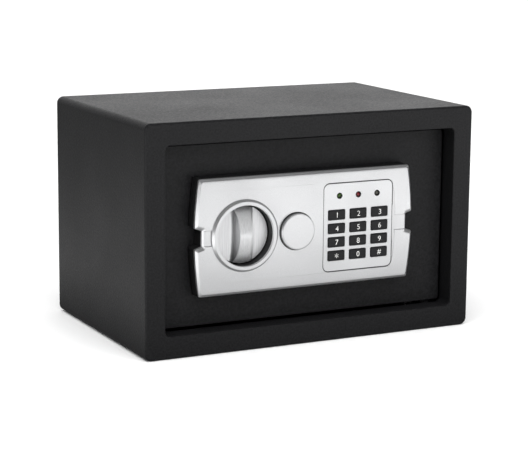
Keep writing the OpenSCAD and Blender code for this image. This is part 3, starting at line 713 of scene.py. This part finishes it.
def knob():
    """Round disc with an arched grip; hollows at both sides give the grip its waist."""
    centre = middle(KNOB_LOW, KNOB_HIGH)
    radius = (KNOB_HIGH[0] - KNOB_LOW[0]) / 2
    top = KNOB_LOW[1]
    disc_front = top + 10.5 * MM
    disc_back = disc_front + 3 * MM
    rise = disc_front - top
    # Half widths of the grip, how far its flanks bow in, and its soft edges
    foot, head = 9.65 * MM, 5.65 * MM
    waist = 1.1 * MM
    fillet = 0.8 * MM
    edge_r = 0.45 * MM
    pinch = 0.35 * MM

    def ridge_half(height):
        """Half width of the grip at a height above the disc, bowed inwards between foot and head."""
        share = height / rise
        straight = foot + (head - foot) * share
        return straight - waist * math.sin(math.pi * share) * (1 - 0.35 * share)

    def section(z):
        chord = math.sqrt(max(radius ** 2 - z ** 2, 1e-10))
        arch_r = (radius ** 2 + rise ** 2) / (2 * rise)
        level = max(math.sqrt(arch_r ** 2 - z ** 2) - arch_r + rise, 0)
        peak = pinch * math.exp(-(z / (5 * MM)) ** 2)
        level = max(level - pinch + peak, 0)
        half = []
        for k in range(7):
            share = k / 6
            half.append((chord + (foot + fillet - chord) * share, 0))
        for k in range(1, 13):
            height = level * k / 12
            blend = math.exp(-height / (0.7 * MM)) * fillet
            half.append((ridge_half(height) + blend, height))
        edge = ridge_half(level)
        soft = min(edge_r, level / 2 + 1e-6)
        for k in range(1, 6):
            turn = math.radians(18 * k)
            half.append((edge - soft * math.sin(turn), level + 0.192 * soft * (1 - math.cos(turn))))
        inner, shoulder = half[-1]
        swell = 0.18 * MM * (level / rise)
        for k in range(1, 5):
            share = k / 4
            half.append((inner * (1 - share), shoulder + swell * math.sin(share * math.pi / 2)))
        half = [(min(a, chord), b) for a, b in half]
        right = [Vector((centre[0] + a, disc_front - b, centre[2] + z)) for a, b in half]
        left = [Vector((2 * centre[0] - p.x, p.y, p.z)) for p in reversed(right[:-1])]
        return right + left

    rows = 72
    heights = [radius * math.sin(math.pi / 2 * (2 * k / rows - 1)) for k in range(rows + 1)]
    heights[0] *= 0.9999
    heights[-1] *= 0.9999
    bm = bmesh.new()
    grid = [[bm.verts.new(p) for p in section(z)] for z in heights]
    count = len(grid[0])
    for low, high in zip(grid, grid[1:]):
        for k in range(count - 1):
            bm.faces.new((low[k], low[k + 1], high[k + 1], high[k]))
    rim = [row[0] for row in grid] + [v for v in grid[-1][1:-1]] + [row[-1] for row in reversed(grid)]
    rim += [v for v in reversed(grid[0][1:-1])]
    back = [bm.verts.new((v.co.x, disc_back, v.co.z)) for v in rim]
    for k in range(len(rim)):
        n = (k + 1) % len(rim)
        bm.faces.new((rim[k], rim[n], back[n], back[k]))
    bm.faces.new(back)
    made = finish_mesh("turn_knob", bm, 55)
    boss = rod_mesh("knob_boss", centre[0], centre[2], 5.6 * MM, disc_back - 0.5 * MM, KNOB_HIGH[1], 48)
    add_piece(boss, "silver_paint", "turn_knob")
    return add_piece(made, "satin_metal", "turn_knob", "knob")


# ---------- Keys ----------

def rubber_key(node, sign):
    """Rubber key with round edges and a shallow dished face, and its printed sign."""
    low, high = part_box(node)
    x, _, z = middle(low, high)
    width = high[0] - low[0] - 2 * MM
    height = high[2] - low[2] - 2 * MM
    front = low[1]
    # Inset and depth in mm, from the foot of the cap to its dished face
    steps = [(0.0, 3.6), (0.0, 0.7), (0.08, 0.4), (0.25, 0.17), (0.5, 0.04), (0.8, 0.0), (2.2, 0.06)]
    rings = []
    for inset, depth in steps:
        radius = max(1.1 - inset * 0.4, 0.4) * MM
        less = 2 * inset * MM
        rings.append(rect_ring(x, z, width - less, height - less, radius, front + depth * MM, 5))
    made = skin(node + "_cap", rings, sharp=60)
    add_piece(made, "black_rubber", node + "_pad", node)
    for part, size, ends in (("_flange", (width + 2 * MM, height + 2 * MM), (3.9, 5.1)),
                             ("_stem", (8 * MM, 5 * MM), (5.1, 5.9))):
        block = [rect_ring(x, z, *size, 0.5 * MM, front + depth * MM) for depth in ends]
        add_piece(skin(node + part, block), "black_rubber", node + "_pad")
    add_piece(key_sign(node, sign, x, z, front), "legend_paint", node + "_pad")
    return made


def key_sign(node, sign, x, z, front):
    """The key's sign as a thin raised print."""
    curve = bpy.data.curves.new(node + "_sign", "FONT")
    curve.body = sign
    curve.size = 6.5 * MM if sign != "*" else 9.0 * MM
    curve.align_x = "CENTER"
    curve.align_y = "CENTER"
    curve.extrude = 0.05 * MM
    curve.offset = -0.05 * MM
    text = bpy.data.objects.new(node + "_text", curve)
    bpy.context.scene.collection.objects.link(text)
    graph = bpy.context.evaluated_depsgraph_get()
    mesh = bpy.data.meshes.new_from_object(text.evaluated_get(graph))
    bpy.data.objects.remove(text)
    bpy.data.curves.remove(curve)
    xs = [v.co.x for v in mesh.vertices]
    ys = [v.co.y for v in mesh.vertices]
    shift = Vector((-(min(xs) + max(xs)) / 2, -(min(ys) + max(ys)) / 2, 0))
    for vert in mesh.vertices:
        p = vert.co + shift
        vert.co = Vector((x + p.x, front + 0.04 * MM - p.z, z + p.y))
    made = bpy.data.objects.new(node + "_sign", mesh)
    bpy.context.scene.collection.objects.link(made)
    return made


# ---------- Build ----------

for entry in RECORD["subparts"]:
    dress(NODES[entry["node"]], entry["material_slot"])

casing()
felt_mat()
panel_cover()
keypad_gap_shade()
led_rims()
knob_bezel()
override_cap()
knob()
for key_node, key_sign_text in KEYS.items():
    rubber_key(key_node, key_sign_text)

EDGES = {"rear_panel": 0.5, "door_plate": 0.9, "panel_base": 0.5, "inner_cover": 0.4, "keypad_plate": 0.25,
         "hinge_brackets": 0.5, "strike_plate": 0.5, "hinge_pins": 0.5, "bolt_guide": 0.4, "guide_studs": 0.3,
         "cover_posts": 0.3, "cover_screws": 0.2, "panel_screws": 0.2, "lock_nut": 0.3, "lock_cam": 0.3,
         "crank": 0.4, "bolt_carriage": 0.3, "bolt_screws": 0.3, "battery_box": 0.3, "battery_lid": 0.5,
         "reset_switch": 0.3, "reset_button": 0.4, "control_board": 0.1, "solenoid_frame": 0.3,
         "locking_bolts": 0.3, "batteries": 0.3}
for node_name, edge_width in EDGES.items():
    clean_cad(node_name, edge_width * MM)


# ---------- Stage, light and camera ----------

def stage_floor():
    """Pale studio floor, wide enough to fill the view."""
    bm = bmesh.new()
    size = 14
    cells = 40
    rows = []
    for j in range(cells + 1):
        y = size * (2 * j / cells - 1) + 4
        rows.append([bm.verts.new((size * (2 * i / cells - 1), y, -0.0002)) for i in range(cells + 1)])
    for low, high in zip(rows, rows[1:]):
        for i in range(cells):
            bm.faces.new((low[i], low[i + 1], high[i + 1], high[i]))
    floor = finish_mesh("studio_floor", bm)
    material, tree, shader, place = new_material("studio_floor")
    cloud = noise(tree, place, 3, 2)
    tree.links.new(ramp(tree, cloud, [(0.3, (0.88, 0.88, 0.88)), (0.7, (0.9, 0.9, 0.9))]),
                   shader.inputs["Base Color"])
    shader.inputs["Roughness"].default_value = 0.7
    shader.inputs["Specular IOR Level"].default_value = 0.1
    floor.data.materials.append(material)
    floor.visible_glossy = False


def studio_glow():
    """What glossy surfaces see in place of the floor: dim close to the object and brighter further out,
    with a bright table on the left that fades behind the object."""
    bm = bmesh.new()
    size = 7
    corners = [(-size, -size), (size, -size), (size, size), (-size, size)]
    bm.faces.new([bm.verts.new((x, y, -0.002)) for x, y in corners])
    glow = finish_mesh("studio_glow", bm)
    material, tree, shader, place = new_material("studio_glow")
    split = tree.nodes.new("ShaderNodeSeparateXYZ")
    tree.links.new(place, split.inputs["Vector"])
    across, along = split.outputs["X"], split.outputs["Y"]

    def work(operation, *values):
        node = tree.nodes.new("ShaderNodeMath")
        node.operation = operation
        for socket, value in zip(node.inputs, values):
            if isinstance(value, (int, float)):
                socket.default_value = value
            else:
                tree.links.new(value, socket)
        return node.outputs["Value"]

    def fall(value, stops):
        """Level at a value, through a list of (value, level) stops."""
        total = None
        for (start, low), (end, high) in zip(stops, stops[1:]):
            node = tree.nodes.new("ShaderNodeMapRange")
            node.inputs["From Min"].default_value = start
            node.inputs["From Max"].default_value = end
            node.inputs["To Min"].default_value = 0 if total else low
            node.inputs["To Max"].default_value = high - low if total else high
            tree.links.new(value, node.inputs["Value"])
            total = work("ADD", total, node.outputs["Result"]) if total else node.outputs["Result"]
        return total

    beside = work("SUBTRACT", work("ABSOLUTE", across), CASE_W / 2)
    before = work("SUBTRACT", work("ABSOLUTE", along), (BACK - FRONT) / 2)
    away = work("MAXIMUM", beside, before)
    around = fall(away, [(0.02, 0.2), (0.25, 0.95), (0.7, 1.25), (1.6, 1.4)])
    around = work("MULTIPLY", around, fall(across, [(-0.15, 0.87), (0.45, 1.13)]))
    table = fall(along, [(-0.5, 1.7), (-0.1, 1.5), (0.05, 1.2), (0.85, 0.08)])
    left = fall(across, [(-0.28, 1), (-0.18, 0)])
    level = work("ADD", work("MULTIPLY", table, left), work("MULTIPLY", around, work("SUBTRACT", 1, left)))
    tree.links.new(level, shader.inputs["Emission Strength"])
    shader.inputs["Emission Color"].default_value = (1, 1, 1, 1)
    shader.inputs["Base Color"].default_value = (0, 0, 0, 1)
    glow.data.materials.append(material)
    glow.visible_camera = False
    glow.visible_diffuse = False
    glow.visible_shadow = False
    glow.visible_transmission = False


def light(name, kind, place, aim, energy, size=None):
    lamp = bpy.data.lights.new(name, kind)
    lamp.energy = energy
    if kind == "AREA":
        lamp.shape = "RECTANGLE"
        lamp.size, lamp.size_y = size
    made = bpy.data.objects.new(name, lamp)
    made.location = place
    made.rotation_euler = (Vector(aim) - Vector(place)).to_track_quat("-Z", "Y").to_euler()
    bpy.context.scene.collection.objects.link(made)
    return made


def studio_world():
    """Bright behind the object and to its right, darker over the camera."""
    world = bpy.data.worlds.new("studio")
    bpy.context.scene.world = world
    world.use_nodes = True
    tree = world.node_tree
    back = tree.nodes["Background"]
    place = tree.nodes.new("ShaderNodeTexCoord")
    along = tree.nodes.new("ShaderNodeVectorMath")
    along.operation = "DOT_PRODUCT"
    along.inputs[1].default_value = Vector((0.55, 0.8, 0.1)).normalized()
    tree.links.new(place.outputs["Generated"], along.inputs[0])
    level = tree.nodes.new("ShaderNodeMapRange")
    level.inputs["From Min"].default_value = 0.4
    level.inputs["From Max"].default_value = 0.97
    level.inputs["To Min"].default_value = 0.12
    level.inputs["To Max"].default_value = 1.2
    tree.links.new(along.outputs["Value"], level.inputs["Value"])
    tree.links.new(level.outputs["Result"], back.inputs["Strength"])
    back.inputs["Color"].default_value = (1, 1, 1, 1)


def camera():
    """Camera in front and to the left, a little above the object."""
    lens_data = bpy.data.cameras.new("camera")
    lens_data.sensor_width = 36
    lens_data.lens = 122.38
    made = bpy.data.objects.new("camera", lens_data)
    made.location = (-0.7084, -1.4067, 0.3868)
    made.rotation_euler = (math.pi / 2 - 0.1896, -0.0084, -0.4664)
    bpy.context.scene.collection.objects.link(made)
    bpy.context.scene.camera = made


stage_floor()
studio_glow()
studio_world()
sun = light("sun", "SUN", (-0.9, -1.0, 3.0), (0, 0, 0), 3.6)
sun.data.angle = math.radians(70)
sun.visible_glossy = False
front = light("front_box", "AREA", (0.5, -2.2, 1.2), (0, -0.1, 0.1), 26, (1.4, 1.0))
front.visible_glossy = False
camera()
bpy.context.scene.view_settings.view_transform = "Standard"
